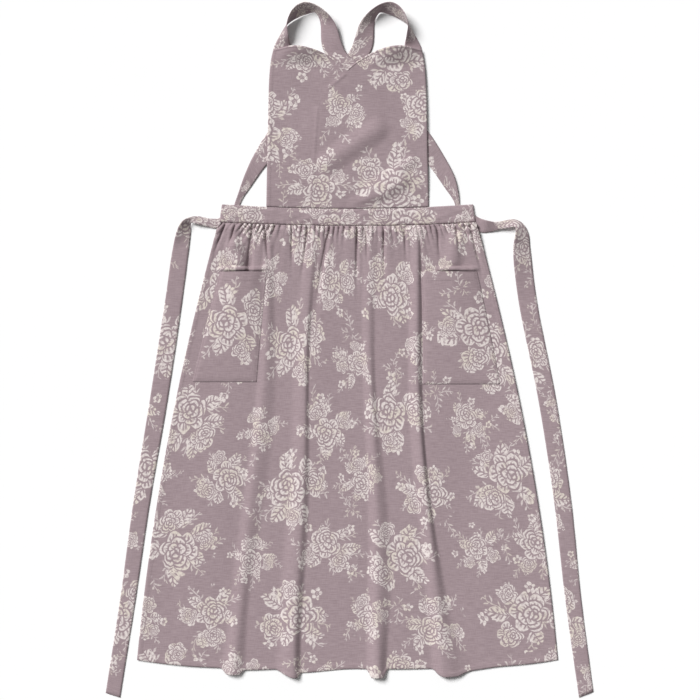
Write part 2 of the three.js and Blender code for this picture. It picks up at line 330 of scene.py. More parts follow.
# The last stretch of the right strap, before it is mirrored: its outer edge runs straighter
STRAIGHTER_END = from_millimetres(
    (107, 362, 0.8, 132, 391, 0.8),
    (146, 318, 0.8, 165, 339, 0.8),
    (172, 281, 0.8, 181, 303, 3),
    (184, 264, 0.8, 191, 274, 3),
    (189, 251, 0.8, 198, 254, 0.8),
    (190, 238, 0.8, 201, 239, 0.8),
)
CROSSING_Y = 0.498
CROSSING_LIFT = 0.002
CROSSING_FULL = 0.030
CROSSING_NONE = 0.085

# Waist ties: outer edge a and inner edge b, from under the waistband round the turn to the free end
TIE_LEFT = from_millimetres(
    (-206, 247, 0.8, -206, 227, 0.8),
    (-224, 231, 0.8, -228, 213, 0.8),
    (-240, 230, 1, -246, 216, 4),
    (-261, 234, 1.4, -265, 221, 8),
    (-275, 232, 8, -272, 222, 6),
    (-288, 224, 16, -274, 218, 2),
    (-297, 209, 11, -274, 207, 1),
    (-305, 181, 1.2, -277, 181, 0.8),
    (-319, 87, 0.8, -289, 87, 0.8),
    (-346, -88, 0.8, -315, -88, 0.8),
    (-374, -262, 0.8, -345, -262, 0.8),
    (-398, -437, 0.8, -371, -437, 0.8),
    (-423, -600, 0.8, -398, -608, 0.8),
)
TIE_RIGHT = from_millimetres(
    (206, 249, 0.8, 206, 226, 0.8),
    (229, 232, 0.8, 233, 206, 0.8),
    (243, 226, 10, 248, 206, 1),
    (259, 224, 5, 268, 211, 5),
    (277, 227, 1.2, 281, 213, 8),
    (291, 229, 1.2, 290, 215, 10),
    (302, 225, 1.2, 293, 213, 13),
    (311, 216, 1.2, 293, 209, 15),
    (317, 202, 1, 292, 199, 15),
    (320, 176, 0.8, 289, 176, 11),
    (331, 87, 0.8, 299, 87, 0.8),
    (365, -88, 0.8, 334, -88, 0.8),
    (391, -262, 0.8, 361, -262, 0.8),
    (409, -437, 0.8, 381, -437, 0.8),
    (430, -598, 0.8, 405, -608, 0.8),
)

# Stage: half the floor's side, how far the floor lies under the cloth, where the key light runs, and how far
# the camera stands to the right of the middle
FLOOR_HALF = 60.0
FLOOR_DROP = 0.0004
KEY_RUN = (0.62, -0.55, -0.80)
CAMERA_SHIFT = 0.0044

# The middle of the garment in the frame, from the waistband's box
BAND_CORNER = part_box("waistband")[0]
MIDDLE = np.array((BAND_CORNER.x + BAND_BOTTOM_HALF, BAND_CORNER.y - BAND_BOTTOM.middle, 0))

# Finished walls by piece, for the seams that run on them
Wall = namedtuple("Wall", "upper across along")
WALLS = {}


def metres(name, description, default):
    return FloatProperty(name=name, description=description, default=default, unit="LENGTH")


def tint(name, description, default):
    return FloatVectorProperty(name=name, description=description, default=default, subtype="COLOR")


class ApronSizes(bpy.types.PropertyGroup):
    """Sizes of the cloth, its gathers and its sewing"""

    cloth: metres("Cloth", "Thickness of one layer of cloth", 0.0013)
    band: metres("Waistband", "Thickness of the waistband", 0.0030)
    gather_count: IntProperty(
        name="Gathers", description="Number of gathers along the waistband", default=31)
    gather_height: metres("Gather height", "Height of the gathers", 0.0032)
    gather_length: metres("Gather length", "Length over which the gathers fade", 0.045)
    pucker: metres("Pucker pitch", "Distance between seam puckers", 0.0086)
    stitch_pitch: metres("Stitch pitch", "Distance from stitch to stitch", 0.0034)
    stitch_length: metres("Stitch length", "Length of one stitch", 0.0025)
    thread: metres("Thread", "Width of the sewing thread", 0.0006)


class ApronColours(bpy.types.PropertyGroup):
    """Colours of the cloth, its print, its thread and the floor"""

    ground: tint("Ground", "Dusty mauve of the cloth", (0.372, 0.286, 0.306))
    ground_deep: tint("Deep ground", "Darker threads of the cloth", (0.304, 0.229, 0.247))
    cream: tint("Cream", "Main colour of the print", (0.80, 0.73, 0.70))
    beige: tint("Beige", "Warm colour of the print", (0.75, 0.68, 0.60))
    thread: tint("Thread", "Colour of the thread", (0.40, 0.30, 0.325))
    floor: tint("Floor", "Colour of the floor", (0.97, 0.97, 0.97))


class ApronPrint(bpy.types.PropertyGroup):
    """Layout of the floral print"""

    repeat_width: metres("Repeat width", "Distance between columns of bouquets", 0.206)
    repeat_height: metres("Repeat height", "Distance between bouquets above each other", 0.232)
    wander: metres("Wander", "How far bouquets stray from the repeat", 0.034)
    tremble: metres("Tremble", "How unsteadily the lines are drawn", 0.011)


class ApronStage(bpy.types.PropertyGroup):
    """Light and camera"""

    view_width: metres("View width", "Width that the camera sees", 1.225)
    lens: FloatProperty(
        name="Lens", description="Focal length in millimetres", default=85.0)
    key: FloatProperty(
        name="Key light", description="Strength of the soft light from the upper left", default=3.8)
    fill: FloatProperty(
        name="Fill light", description="Strength of the light from all round", default=0.20)
    softness: FloatProperty(
        name="Softness", description="Angle that the key light fills", default=math.radians(28),
        subtype="ANGLE")


# Cloth geometry


def mix(low, high, share):
    return low + (high - low) * share


def smooth(value, low, high):
    """0 up to low, 1 from high, with a soft step between them."""
    share = np.clip((value - low) / (high - low), 0, 1)
    return share * share * (3 - 2 * share)


def hump(distance, reach):
    """A round hump, 1 at its crest and 0 at the end of its flank."""
    return np.cos(np.pi / 2 * np.clip(distance / reach, -1, 1)) ** 2


def waves(x, y, kind):
    """Slow uneven waviness of a kind, mostly between -1 and 1, made of a few sine waves."""
    draw = np.random.default_rng(kind.seed)
    total = np.zeros(np.broadcast(x, y).shape)
    for _ in range(WAVE_COUNT):
        turns_x, turns_y = draw.uniform(-WAVE_TURNS, WAVE_TURNS, 2)
        start = draw.uniform(0, 2 * np.pi)
        total += np.sin(2 * np.pi * (turns_x * x / kind.pitch_x + turns_y * y / kind.pitch_y) + start)
    return total / WAVE_COUNT * WAVE_GAIN


def spaced(stretches):
    """Shares from 0 to 1 in stretches, each given by its end and its count of points."""
    parts = []
    start = 0
    for end, count in stretches:
        parts.append(np.linspace(start, end, count, endpoint=end == 1))
        start = end
    return np.concatenate(parts)


def grid_normals(points):
    across = np.gradient(points, axis=1)
    along = np.gradient(points, axis=0)
    normals = np.cross(across, along)
    return normals / np.linalg.norm(normals, axis=2, keepdims=True)


def wall_faces(rows, columns):
    """Faces of a closed wall over a grid of points: upper side, underside and the rim between them."""
    number = np.arange(rows * columns).reshape(rows, columns)
    corners = (number[:-1, :-1], number[:-1, 1:], number[1:, 1:], number[1:, :-1])
    upper = np.stack(corners, axis=-1).reshape(-1, 4)
    under = upper[:, ::-1] + number.size
    rim = np.concatenate((number[0, :-1], number[:-1, -1], number[-1, :0:-1], number[:0:-1, 0]))
    following = np.roll(rim, -1)
    edge = np.stack((rim + number.size, following + number.size, following, rim), axis=-1)
    return np.concatenate((upper, under, edge)), len(edge)


def cloth_wall(node, under, thickness, flat, across, along):
    """A closed wall of printed cloth over its underside. flat holds its places on the cut cloth."""
    name = node + "_cloth"
    rows, columns = under.shape[:2]
    upper = under + grid_normals(under) * np.broadcast_to(thickness, (rows, columns))[..., None]
    upper[..., 2] = np.maximum(upper[..., 2], LOWEST_UPPER)
    places = np.concatenate((upper.reshape(-1, 3), under.reshape(-1, 3))) + MIDDLE
    faces, rim_count = wall_faces(rows, columns)
    mesh = bpy.data.meshes.new(name)
    mesh.from_pydata(places.tolist(), [], faces.tolist())
    flats = np.tile(flat.reshape(-1, 2), (2, 1))[faces.ravel()]
    mesh.uv_layers.new(name=UV_NAME).data.foreach_set("uv", flats.ravel())
    is_smooth = np.ones(len(faces), bool)
    is_smooth[len(faces) - rim_count:] = False
    mesh.polygons.foreach_set("use_smooth", is_smooth)
    mesh.materials.append(printed_cotton())
    mesh.update()
    piece = bpy.data.objects.new(name, mesh)
    bpy.context.scene.collection.objects.link(piece)
    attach(piece, BODY)
    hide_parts(node)
    WALLS[node] = Wall(upper + MIDDLE, across, along)
    return piece


def on_wall(wall, across, along):
    """Points on the upper side of a wall at shares of its width and length."""
    column = np.interp(across, wall.across, np.arange(len(wall.across)))
    row = np.interp(along, wall.along, np.arange(len(wall.along)))
    left = np.minimum(column.astype(int), len(wall.across) - 2)
    low = np.minimum(row.astype(int), len(wall.along) - 2)
    over = (column - left)[:, None]
    up = (row - low)[:, None]
    bottom = mix(wall.upper[low, left], wall.upper[low, left + 1], over)
    top = mix(wall.upper[low + 1, left], wall.upper[low + 1, left + 1], over)
    return mix(bottom, top, up)


def edge_thinning(across, along, keep):
    """Thickness share over a grid, reduced on its rim so that edges look turned and not cut."""
    share = np.ones((len(along), len(across)))
    share[[0, -1], :] = keep
    share[:, [0, -1]] = keep
    return share


def crossing_lift(x, y):
    return 1 - smooth(np.hypot(x, y - CROSSING_Y), CROSSING_FULL, CROSSING_NONE)


def band_edge(edge, x):
    waver = edge.waver * waves(x, 0 * x, BAND_WAVES)
    return mix(edge.middle, edge.ends, (x / BAND_BOTTOM_HALF) ** 2) + waver


def band_lift(x):
    return BAND_LIFT * smooth(np.abs(x), BAND_LIFT_START, BAND_LIFT_END)


def bib_top(x):
    """Neckline: an arc from each strap joint to the point in the middle."""
    out = np.abs(x)
    reach = np.clip(NECK_START_X - out, 0, None)
    arc = NECK_START_Y - NECK_RADIUS + np.sqrt(NECK_RADIUS ** 2 - reach ** 2)
    share = np.clip((out - NECK_START_X) / (SHOULDER_CORNER_X - NECK_START_X), 0, None)
    return arc + (SHOULDER_CORNER_Y - NECK_START_Y) * share


def distance_to_line(line, x, y):
    run_x = line.to_x - line.from_x
    run_y = line.to_y - line.from_y
    share = ((x - line.from_x) * run_x + (y - line.from_y) * run_y) / (run_x ** 2 + run_y ** 2)
    share = np.clip(share, 0, 1)
    return np.hypot(x - line.from_x - share * run_x, y - line.from_y - share * run_y)


def bib_point(u, v):
    side = 2 * u - 1
    half = mix(BIB_BASE_HALF, BIB_TOP_HALF, v) - BIB_CORNER_TUCK * v ** BIB_CORNER_POWER
    x = side * half
    low = band_edge(BAND_TOP, x) + BIB_SEAM_GAP
    high = bib_top(x)
    y = mix(low, high, v)
    z = mix(BIB_SEAM_HEIGHT, BIB_OVER_STRAPS, smooth(y - low, 0, BIB_RISE))
    z += CROSSING_LIFT * crossing_lift(x, y)
    for line in BIB_LINES:
        z += line.height * hump(distance_to_line(line, x, y), line.width) * smooth(y - low, 0, BIB_LINE_FADE)
    sideways = np.clip((np.abs(x) - NECK_CURL_FROM) / (NECK_CURL_TO - NECK_CURL_FROM), 0, 1)
    z += NECK_CURL * np.sin(np.pi * sideways) ** 2 * (1 - smooth(high - y, 0, NECK_CURL_REACH))
    z += BIB_WAVE_HEIGHT * (1 + waves(x, y, BIB_WAVES)) * smooth(y - low, 0, BIB_RISE)
    return np.stack((x, y, z), axis=-1)


def band_point(u, v):
    x = (2 * u - 1) * mix(BAND_BOTTOM_HALF, BAND_TOP_HALF, v)
    y = mix(band_edge(BAND_BOTTOM, x), band_edge(BAND_TOP, x), v)
    return np.stack((x, y, band_lift(x)), axis=-1)


def skirt_half(drop):
    return mix(SKIRT_TOP_HALF, SKIRT_HEM_HALF, drop + SKIRT_FLARE * drop * (1 - drop))


def fold_shape(fold, x, drop):
    """Share of a fold's height: a wide flank on its left and a steeper one on its right."""
    straight = mix(fold.top, fold.hem, drop)
    bow = fold.middle - mix(fold.top, fold.hem, FOLD_MIDDLE)
    crest = straight + bow * drop * (1 - drop) / (FOLD_MIDDLE * (1 - FOLD_MIDDLE))
    crest = crest + FOLD_WANDER * np.sin(FOLD_WANDER_RUN * drop + FOLD_WANDER_START * fold.top)
    offset = x - crest
    sway = 1 + FOLD_SWAY * np.sin(FOLD_SWAY_RUN * drop + FOLD_SWAY_START * fold.hem)
    right = fold.right * mix(mix(fold.edge, fold.low_edge, drop) * sway, 1, smooth(drop, LOBE_START, 1))
    return hump(offset, np.where(offset < 0, fold.left, right) * mix(FOLD_TOP_WIDTH, 1, drop))


def fold_height(fold, drop):
    return mix(fold.top_height, fold.low_height, drop) + (
        (fold.hem_height - fold.low_height) * smooth(drop, LOBE_START, 1))


def skirt_top_edge(side):
    return band_edge(BAND_BOTTOM, side * SKIRT_TOP_HALF) - SEAM_GAP


def hem_edge(side):
    y = mix(HEM_MIDDLE, HEM_CORNER, np.abs(side) ** HEM_CORNER_POWER)
    x = side * SKIRT_HEM_HALF
    for fold in SKIRT_FOLDS:
        past = x - fold.hem
        y = y - fold.lobe * np.minimum(1, LOBE_FULLNESS * fold_shape(fold, x, 1))
        y = y - fold.drift * smooth(past, -DRIFT_START, 0) * (1 - smooth(past, 0, DRIFT_REACH))
    return y


def gathers(sizes, side, x, below, creases):
    """Height of the uneven gathers under the waistband, with deep creases and small puckers at the seam."""
    draw = np.random.default_rng(GATHER_SEED)
    swell = mix(GATHER_SEAM_SHARE, 1, smooth(below, 0, GATHER_SEAM))
    z = GATHER_SWELL * np.exp(-below / GATHER_SWELL_FADE) * swell
    for number in range(sizes.gather_count):
        place = 2 * (number + 0.5 + draw.uniform(-GATHER_STRAY, GATHER_STRAY)) / sizes.gather_count - 1
        reach = draw.uniform(*GATHER_REACHES) / sizes.gather_count
        height = sizes.gather_height * draw.uniform(*GATHER_HEIGHTS)
        length = sizes.gather_length * draw.uniform(*GATHER_LENGTHS)
        lean = draw.uniform(-GATHER_LEAN, GATHER_LEAN)
        ridge = hump(side - place - lean * below, reach * (1 + below * GATHER_WIDENING))
        z = z + height * ridge * np.exp(-below / length) * swell
    for crease in creases:
        share = np.clip(below / crease.length, 0, CREASE_END)
        line = mix(crease.start, crease.end, share)
        fade = np.exp(-((below / crease.length) ** 2)) * swell
        z = z - crease.depth * hump(x - line, crease.width * (1 + crease.widening * share)) * fade
    slant = x - PUCKER_LEAN * side * np.abs(side) * below
    pucker = np.sin(2 * np.pi * slant / sizes.pucker + PUCKER_DRIFT * waves(x, below, PUCKER_WAVES))
    pucker = np.sign(pucker) * np.abs(pucker) ** PUCKER_SHARPNESS
    uneven = PUCKER_MEAN + PUCKER_VARIES * waves(x, below, PUCKER_PATCHES)
    uneven = uneven + PUCKER_ENDS * side ** PUCKER_ENDS_POWER
    z = z + PUCKER_HEIGHT * pucker * uneven * np.exp(-below / PUCKER_FADE)
    return z + CRUMPLE_HEIGHT * waves(x, below, CRUMPLE_WAVES) * np.exp(-below / CRUMPLE_FADE)


def skirt_point(sizes, side, drop, creases=GATHER_CREASES):
    """Underside of the skirt at a share of its half width and a share of its length below the waistband."""
    x = side * skirt_half(drop)
    top = skirt_top_edge(side)
    y = mix(top, hem_edge(side), drop)
    below = top - y
    fade = np.exp(-below / FOLD_FADE)
    z = gathers(sizes, side, x, below, creases)
    for fold in SKIRT_FOLDS:
        z = z + fold_height(fold, drop) * fold_shape(fold, x, drop) * (1 - fade)
    z = z + SKIRT_WAVE_HEIGHT * (1 + waves(x, y, SKIRT_WAVES)) * smooth(below, 0, SKIRT_WAVE_FULL)
    for pocket in POCKETS:
        middle = (pocket.swell_from + pocket.swell_to) / 2
        share = np.abs(side - middle) / (pocket.swell_to - pocket.swell_from) * 2
        swell = MOUTH_SWELL * (1 - smooth(share, MOUTH_SWELL_ENDS, 1))
        z = z + swell * hump(y - POCKET_MOUTH - MOUTH_SWELL_ABOVE, MOUTH_SWELL_REACH)
    for line in SKIRT_LINES:
        z = z + line.height * hump(distance_to_line(line, x, y), line.width)
    near_corner = smooth(np.abs(side), CORNER_LIFT_FROM, CORNER_LIFT_TO)
    lift = CORNER_LIFT * near_corner * (1 - smooth(below, CORNER_LIFT_FULL, CORNER_LIFT_NONE))
    z = np.maximum(z, 0) + lift
    return np.stack((x, y, z), axis=-1)


def pocket_point(sizes, pocket, u, v):
    """A pocket follows the skirt, but bridges its creases, and stands open at the mouth."""
    left = mix(pocket.left_low, pocket.left_top, v)
    right = mix(pocket.right_low, pocket.right_top, v)
    side = mix(left, right, u)
    y = mix(pocket.low, POCKET_MOUTH, v)
    top = skirt_top_edge(side)
    point = skirt_point(sizes, side, (top - y) / (top - hem_edge(side)), creases=())
    gape = POCKET_GAPE * np.sin(np.pi * u) * v ** POCKET_GAPE_POWER
    point[..., 2] += sizes.cloth + POCKET_SEAM + gape
    return point


def smooth_line(points, shares):
    """Points along a centripetal Catmull-Rom curve through the given points."""
    knots = np.array(points)
    knots = np.concatenate(([2 * knots[0] - knots[1]], knots, [2 * knots[-1] - knots[-2]]))
    place = shares * (len(points) - 1)
    first = np.minimum(place.astype(int), len(points) - 2)
    t = (place - first)[:, None]
    before, start, end, after = (knots[first + step] for step in range(4))
    span_before = np.linalg.norm(start - before, axis=1, keepdims=True) ** 0.5
    span = np.linalg.norm(end - start, axis=1, keepdims=True) ** 0.5
    span_after = np.linalg.norm(after - end, axis=1, keepdims=True) ** 0.5
    leave = (start - before) / span_before - (end - before) / (span_before + span) + (end - start) / span
    arrive = (end - start) / span - (after - start) / (span + span_after) + (after - end) / span_after
    leave = leave * span
    arrive = arrive * span
    cubic = 2 * start - 2 * end + leave + arrive
    square = -3 * start + 3 * end - 2 * leave - arrive
    return ((cubic * t + square) * t + leave) * t + start


def swapped(sections):
    return tuple(Section(*row[3:], *row[:3]) for row in sections)


def mirrored(sections):
    return tuple(row._replace(ax=-row.ax, bx=-row.bx) for row in swapped(sections))


def strip_area(left, right):
    """Flat area of a strip, from its edge lines."""
    widths = np.linalg.norm(right - left, axis=1)
    centre = (left + right) / 2
    runs = np.linalg.norm(np.diff(centre, axis=0), axis=1)
    return np.sum((widths[1:] + widths[:-1]) / 2 * runs)


def strip_wall(node, sections, rows, lift=0.0):
    """A flat sewn strip between its two edge lines. lift raises it where the straps cross."""
    across = np.linspace(0, 1, STRIP_COLUMNS)
    along = np.linspace(0, 1, rows)
    left = smooth_line([row[:3] for row in sections], along)
    right = smooth_line([row[3:] for row in sections], along)
    middle = mix(left[:, None], right[:, None], across[None, :, None])
    x, y = middle[..., 0], middle[..., 1]
    middle[..., 2] = np.maximum(middle[..., 2], STRIP / 2) + lift * crossing_lift(x, y)
    middle[..., 2] += STRIP_WAVE_HEIGHT * (1 + waves(x, y, STRIP_WAVES))
    roundness = 1 - STRIP_ROUND * np.abs(2 * across - 1) ** STRIP_ROUND_POWER
    thickness = STRIP * roundness[None, :] * edge_thinning(across, along, STRIP_EDGE_KEEP)
    under = middle - grid_normals(middle) * thickness[..., None] / 2
    under[..., 2] = np.maximum(under[..., 2], 0)
    centre = middle[:, len(across) // 2]
    run = np.concatenate(([0], np.cumsum(np.linalg.norm(np.diff(centre, axis=0), axis=1))))
    width = np.linalg.norm(right - left, axis=1).max()
    flat = np.stack(np.meshgrid((across - 0.5) * width, run), axis=-1) + PRINT_SHIFTS[node]
    piece = cloth_wall(node, under, thickness, flat, across, along)
    float(strip_area(left, right))


# Materials


def fill_sockets(tree, node, sockets):
    """Links wires to inputs of a node, and sets its other inputs that are given."""
    for name, value in sockets.items():
        if isinstance(value, Wire):
            tree.links.new(value.socket, node.inputs[name])
        else:
            node.inputs[name].default_value = value


def math_function(operation):
    """A function of wires that adds one Math node."""
    return lambda first, *others: first.math(operation, first, *others)


class Wire:
    """One output of a material's nodes. Arithmetic on it adds Math nodes."""

    def __init__(self, tree, socket):
        self.tree = tree
        self.socket = socket

    def node(self, kind, settings, sockets, output=0):
        """Adds a node of this kind, with its settings, then its values and links, and returns one output."""
        made = self.tree.nodes.new(kind)
        for name, value in settings.items():
            setattr(made, name, value)
        fill_sockets(self.tree, made, sockets)
        return Wire(self.tree, made.outputs[output])

    def out(self, name):
        """Another output of the same node."""
        return Wire(self.tree, self.socket.node.outputs[name])

    def math(self, operation, *operands):
        return self.node("ShaderNodeMath", {"operation": operation}, dict(enumerate(operands)))

    __add__ = math_function("ADD")
    __sub__ = math_function("SUBTRACT")
    __mul__ = math_function("MULTIPLY")
    __truediv__ = math_function("DIVIDE")
    __abs__ = math_function("ABSOLUTE")

    def __rsub__(self, other):
        return self.math("SUBTRACT", other, self)

    def step(self, low, high):
        """0 at low and 1 at high, with a soft ramp between them. low may be above high."""
        return self.node(
            "ShaderNodeMapRange", {"interpolation_type": "SMOOTHSTEP"},
            {"Value": self, "From Min": low, "From Max": high})


sine = math_function("SINE")
cosine = math_function("COSINE")
floor = math_function("FLOOR")
fraction = math_function("FRACT")
power = math_function("POWER")
larger = math_function("MAXIMUM")
smaller = math_function("MINIMUM")
is_less = math_function("LESS_THAN")
remainder = math_function("FLOORED_MODULO")


def joined(x, y, z=0.0):
    return x.node("ShaderNodeCombineXYZ", {}, {"X": x, "Y": y, "Z": z})


def parted(vector):
    first = vector.node("ShaderNodeSeparateXYZ", {}, {"Vector": vector}, "X")
    return first, first.out("Y"), first.out("Z")


def radius_of(x, y):
    return x.node("ShaderNodeVectorMath", {"operation": "LENGTH"}, {0: joined(x, y)}, "Value")


def chosen(share, low, high):
    """The wire low where share is 0 and high where it is 1."""
    return low + (high - low) * share


def direction(x, y):
    return x.math("ARCTAN2", y, x)


def dice(x, y, seed):
    """Three random numbers for a cell."""
    cell = joined(x, y, seed)
    colour = x.node("ShaderNodeTexWhiteNoise", {"noise_dimensions": "3D"}, {"Vector": cell}, "Color")
    return parted(colour)


# Numbers of a Mix node's sockets when it mixes colours
MIX_SHARE = 0
MIX_LOW = 6
MIX_HIGH = 7
MIX_RESULT = 2


def blended(share, low, high):
    """Colour between low and high."""
    return share.node(
        "ShaderNodeMix", {"data_type": "RGBA"}, {MIX_SHARE: share, MIX_LOW: low, MIX_HIGH: high}, MIX_RESULT)


# Rings of a rose from the outside in: size and place as shares of its radius, petals, turn and hatching
Ring = namedtuple("Ring", "size x y petals turn stripes")
ROSE_RINGS = (
    Ring(1.00, 0.00, 0.00, 6, 0.0, 25),
    Ring(0.72, 0.05, 0.10, 5, 0.9, 21),
    Ring(0.46, 0.08, 0.16, 4, 2.1, 13),
    Ring(0.22, 0.08, 0.20, 3, 0.4, 7),
)
PETAL_ROUND = 0.30
PETAL_POWER = 0.6
PETAL_LINE = 0.065
PETAL_LINE_SOFT = 0.025
PETAL_RIM = 0.13
PETAL_RIM_SOFT = 0.05
ROSE_REACH = 1.03
FLOWER_TURN = 6.0

# Ramps from none to full: a petal's edge, the gap between petals, the hatching, and what a rose covers
PETAL_EDGE = (0.0, 0.03)
PETAL_GAP = (0.04, 0.10)
HATCHING = (0.12, 0.34)
ROSE_COVER = (-0.06, -0.02)

# Roses of a bouquet in millimetres, the topmost last
Rose = namedtuple("Rose", "x y radius")
ROSES = (
    Rose(-34, -24, 14),
    Rose(25, -20, 20),
    Rose(-8, 8, 30),
)

# What grows out of the middle of a bouquet, in millimetres
LEAVES = 6
LEAF_START = 20
LEAF_LENGTH = 42
LEAF_SHORTEST = 0.55
LEAF_VARIES = 0.6
LEAF_WIDTH = 10
LEAF_TEETH = 1.6
LEAF_POINT = 0.8
LEAF_BEND = 0.012
VEIN_PITCH = 6.5
VEIN_SLANT = 0.12
FLORETS = 4
FLORET_RING = 52
FLORET_NEAREST = 0.8
FLORET_VARIES = 0.4
FLORET_OFFSET = 0.5
FLORET = 9.5
FLORET_PETALS = 5
FLORET_ROUND = 0.42
FLORET_HEART = 2.6
SPRIGS = 6
SPRIG_OFFSET = 0.25
SPRIG_START = 26
SPRIG_LENGTH = 52
SPRIG_SHORTEST = 0.45
SPRIG_VARIES = 0.7
SPRIG_BEND = 0.022
SPRIG_PITCH = 11.0
SPRIG_SLANT = 0.075
SPRIG_LEAF = 8.5
SPRIG_LEAF_HALF = 0.20
SPRIG_TIP_LEAF = 0.35
SPRIG_TIP_GROWTH = 0.5
SECTOR_STRAY = 1.6
BOUQUET_CELLS = 97.0

# Ramps from none to full, for leaves, then for florets, then for sprigs
LEAF_EDGE = (0.0, 0.9)
LEAF_RIM = (6.5, 8.0)
VEIN = (0.10, 0.28)
MIDRIB = (0.4, 1.4)
FLORET_EDGE = (0.0, 1.0)
FLORET_GAP = (0.5, 1.5)
HEART_LINE = (0.5, 1.3)
STEM = (0.9, 0.4)
STEM_FOOT = (0.0, 2.0)
STEM_TIP = (0.0, 0.4)
STEM_SIDES = (-0.1, 0.1)
SPRIG_LEAF_EDGE = (0.0, 0.07)

# Single sprigs between the bouquets, on a repeat of their own, in millimetres
STRAY_WIDTH = 92
STRAY_HEIGHT = 104
STRAY_WANDER = 20
STRAY_COUNT = 4
STRAY_START = 3
STRAY_LENGTH = 36
STRAY_CLEAR = (54, 64)
STRAY_BARE = (0.25, 0.26)
STRAY_CELLS = 61.0

# Layers of bouquets: how far each is moved, as shares of the repeat, its size and its seed
Layer = namedtuple("Layer", "slide shift size seed")
LAYERS = (
    Layer(0.0, 0.0, 1.22, 3.0),
    Layer(0.66, 0.0, 0.96, 5.0),
    Layer(0.34, 0.5, 0.74, 8.0),
)
STRAY_LAYER = Layer(0.3, 0.2, 1.0, 17.0)

# Noises in the materials: scale, detail and dimensions
Noise = namedtuple("Noise", "scale detail dimensions")
SHIVER = Noise(0.045, 2.0, "2D")
WORN = Noise(0.20, 2.0, "2D")
WARMTH = Noise(0.03, 1.0, "2D")
SLUB = Noise(1.0, 3.0, "2D")
WARP = Noise(1.0, 2.0, "2D")
TWIST = Noise(1800.0, 2.0, "3D")
CLOUD = Noise(3.0, 2.0, "3D")

# Cloth: how slub and warp threads stretch the noise, their shares, the weave's pitch in millimetres, and the
# heights of weave and ink against the threads
SLUB_STRETCH = (0.06, 0.62)
WARP_STRETCH = (1.1, 0.08)
SLUB_SHARE = 0.65
WARP_SHARE = 0.35
WEAVE_PITCH = 0.9
WEAVE_HEIGHT = 0.25
INK_HEIGHT = 0.12
ROUGHEST = 0.93
THREAD_GLOSS = 0.10
INK_GLOSS = 0.05

# Ink: how strongly bouquets and sprigs are printed, what wear leaves of them, and how much cloth ink hides
BOUQUET_INK = 0.92
SPRIG_INK = 0.66
WORN_KEEP = 0.5
INK_COVER = 0.94

# Ramps from none to full: unworn ink, beige ink, light threads of the cloth, and light sewing thread
UNWORN = (0.30, 0.58)
BEIGE_INK = (0.48, 0.68)
LIGHT_CLOTH = (0.32, 0.66)
LIGHT_THREAD = (0.3, 0.7)
FLOOR_DULL = 0.99


def rose(x, y, turn):
    """A full rose of radius 1 made of rings of petals: its ink, and the area it covers."""
    ink = None
    for ring in ROSE_RINGS:
        ring_x = x - ring.x
        ring_y = y - ring.y
        reach = radius_of(ring_x, ring_y)
        angle = direction(ring_x, ring_y)
        petal = abs(sine(angle * (ring.petals / 2) + turn * FLOWER_TURN + ring.turn))
        scallop = power(petal, PETAL_POWER) * (PETAL_ROUND * ring.size)
        depth = scallop + (1 - PETAL_ROUND) * ring.size - reach
        between = (petal * reach).step(*PETAL_GAP)
        hatching = abs(fraction(angle * (ring.stripes / math.tau) + ring.turn) - 0.5).step(*HATCHING)
        rim = depth.step(PETAL_RIM + PETAL_RIM_SOFT, PETAL_RIM - PETAL_RIM_SOFT)
        painted = depth.step(*PETAL_EDGE) * between * larger(hatching, rim)
        if ink is None:
            ink = painted
            cover = depth.step(*ROSE_COVER)
        else:
            ink = ink * depth.step(-PETAL_LINE, -PETAL_LINE - PETAL_LINE_SOFT) + painted
    return ink, cover


def nearest_rose(x, y):
    """Place within the topmost rose here, measured in its radius."""
    near_x = near_y = None
    for flower in ROSES:
        own_x = (x - flower.x) * (1 / flower.radius)
        own_y = (y - flower.y) * (1 / flower.radius)
        if near_x is None:
            near_x, near_y = own_x, own_y
        else:
            within = is_less(radius_of(own_x, own_y), ROSE_REACH)
            near_x = chosen(within, near_x, own_x)
            near_y = chosen(within, near_y, own_y)
    return near_x, near_y


def sector(angle, count, turn, cell):
    """Splits the circle into sectors: the angle from a sector's middle, and two random numbers of it."""
    turns = angle * (count / math.tau) + turn
    number = remainder(floor(turns), float(count))
    chance, other, _ = dice(number, cell, float(count))
    swing = (fraction(turns) - 0.5) * (math.tau / count) + (chance - 0.5) * (SECTOR_STRAY / count)
    return swing, chance, other


def leaf_fan(reach, angle, turn, cell):
    """Pointed leaves with a midrib and side veins."""
    swing, chance, other = sector(angle, LEAVES, turn, cell)
    along = reach * cosine(swing)
    past = along - LEAF_START
    across = abs(reach * sine(swing) + past * past * (chance - 0.5) * LEAF_BEND)
    share = past / ((other * LEAF_VARIES + LEAF_SHORTEST) * LEAF_LENGTH)
    share = smaller(larger(share, 0.0), 1.0)
    place = fraction(along * (1 / VEIN_PITCH) - across * VEIN_SLANT)
    half = sine(power(share, LEAF_POINT) * math.pi) * (place * LEAF_TEETH + LEAF_WIDTH)
    inside = (half - across).step(*LEAF_EDGE)
    veins = abs(place - 0.5).step(*VEIN)
    return inside * larger(veins, across.step(*LEAF_RIM)) * across.step(*MIDRIB)


def floret_ring(reach, angle, turn, cell):
    """Small flowers with a few petals, in a ring."""
    swing, chance, other = sector(angle, FLORETS, turn + FLORET_OFFSET, cell)
    x = reach * cosine(swing) - (other * FLORET_VARIES + FLORET_NEAREST) * FLORET_RING
    y = reach * sine(swing)
    away = radius_of(x, y)
    petal = abs(cosine(direction(x, y) * (FLORET_PETALS / 2) + chance * FLOWER_TURN))
    inside = ((petal * FLORET_ROUND + (1 - FLORET_ROUND)) * FLORET - away).step(*FLORET_EDGE)
    heart = abs(away - FLORET_HEART).step(*HEART_LINE)
    return inside * heart * (petal * away).step(*FLORET_GAP)


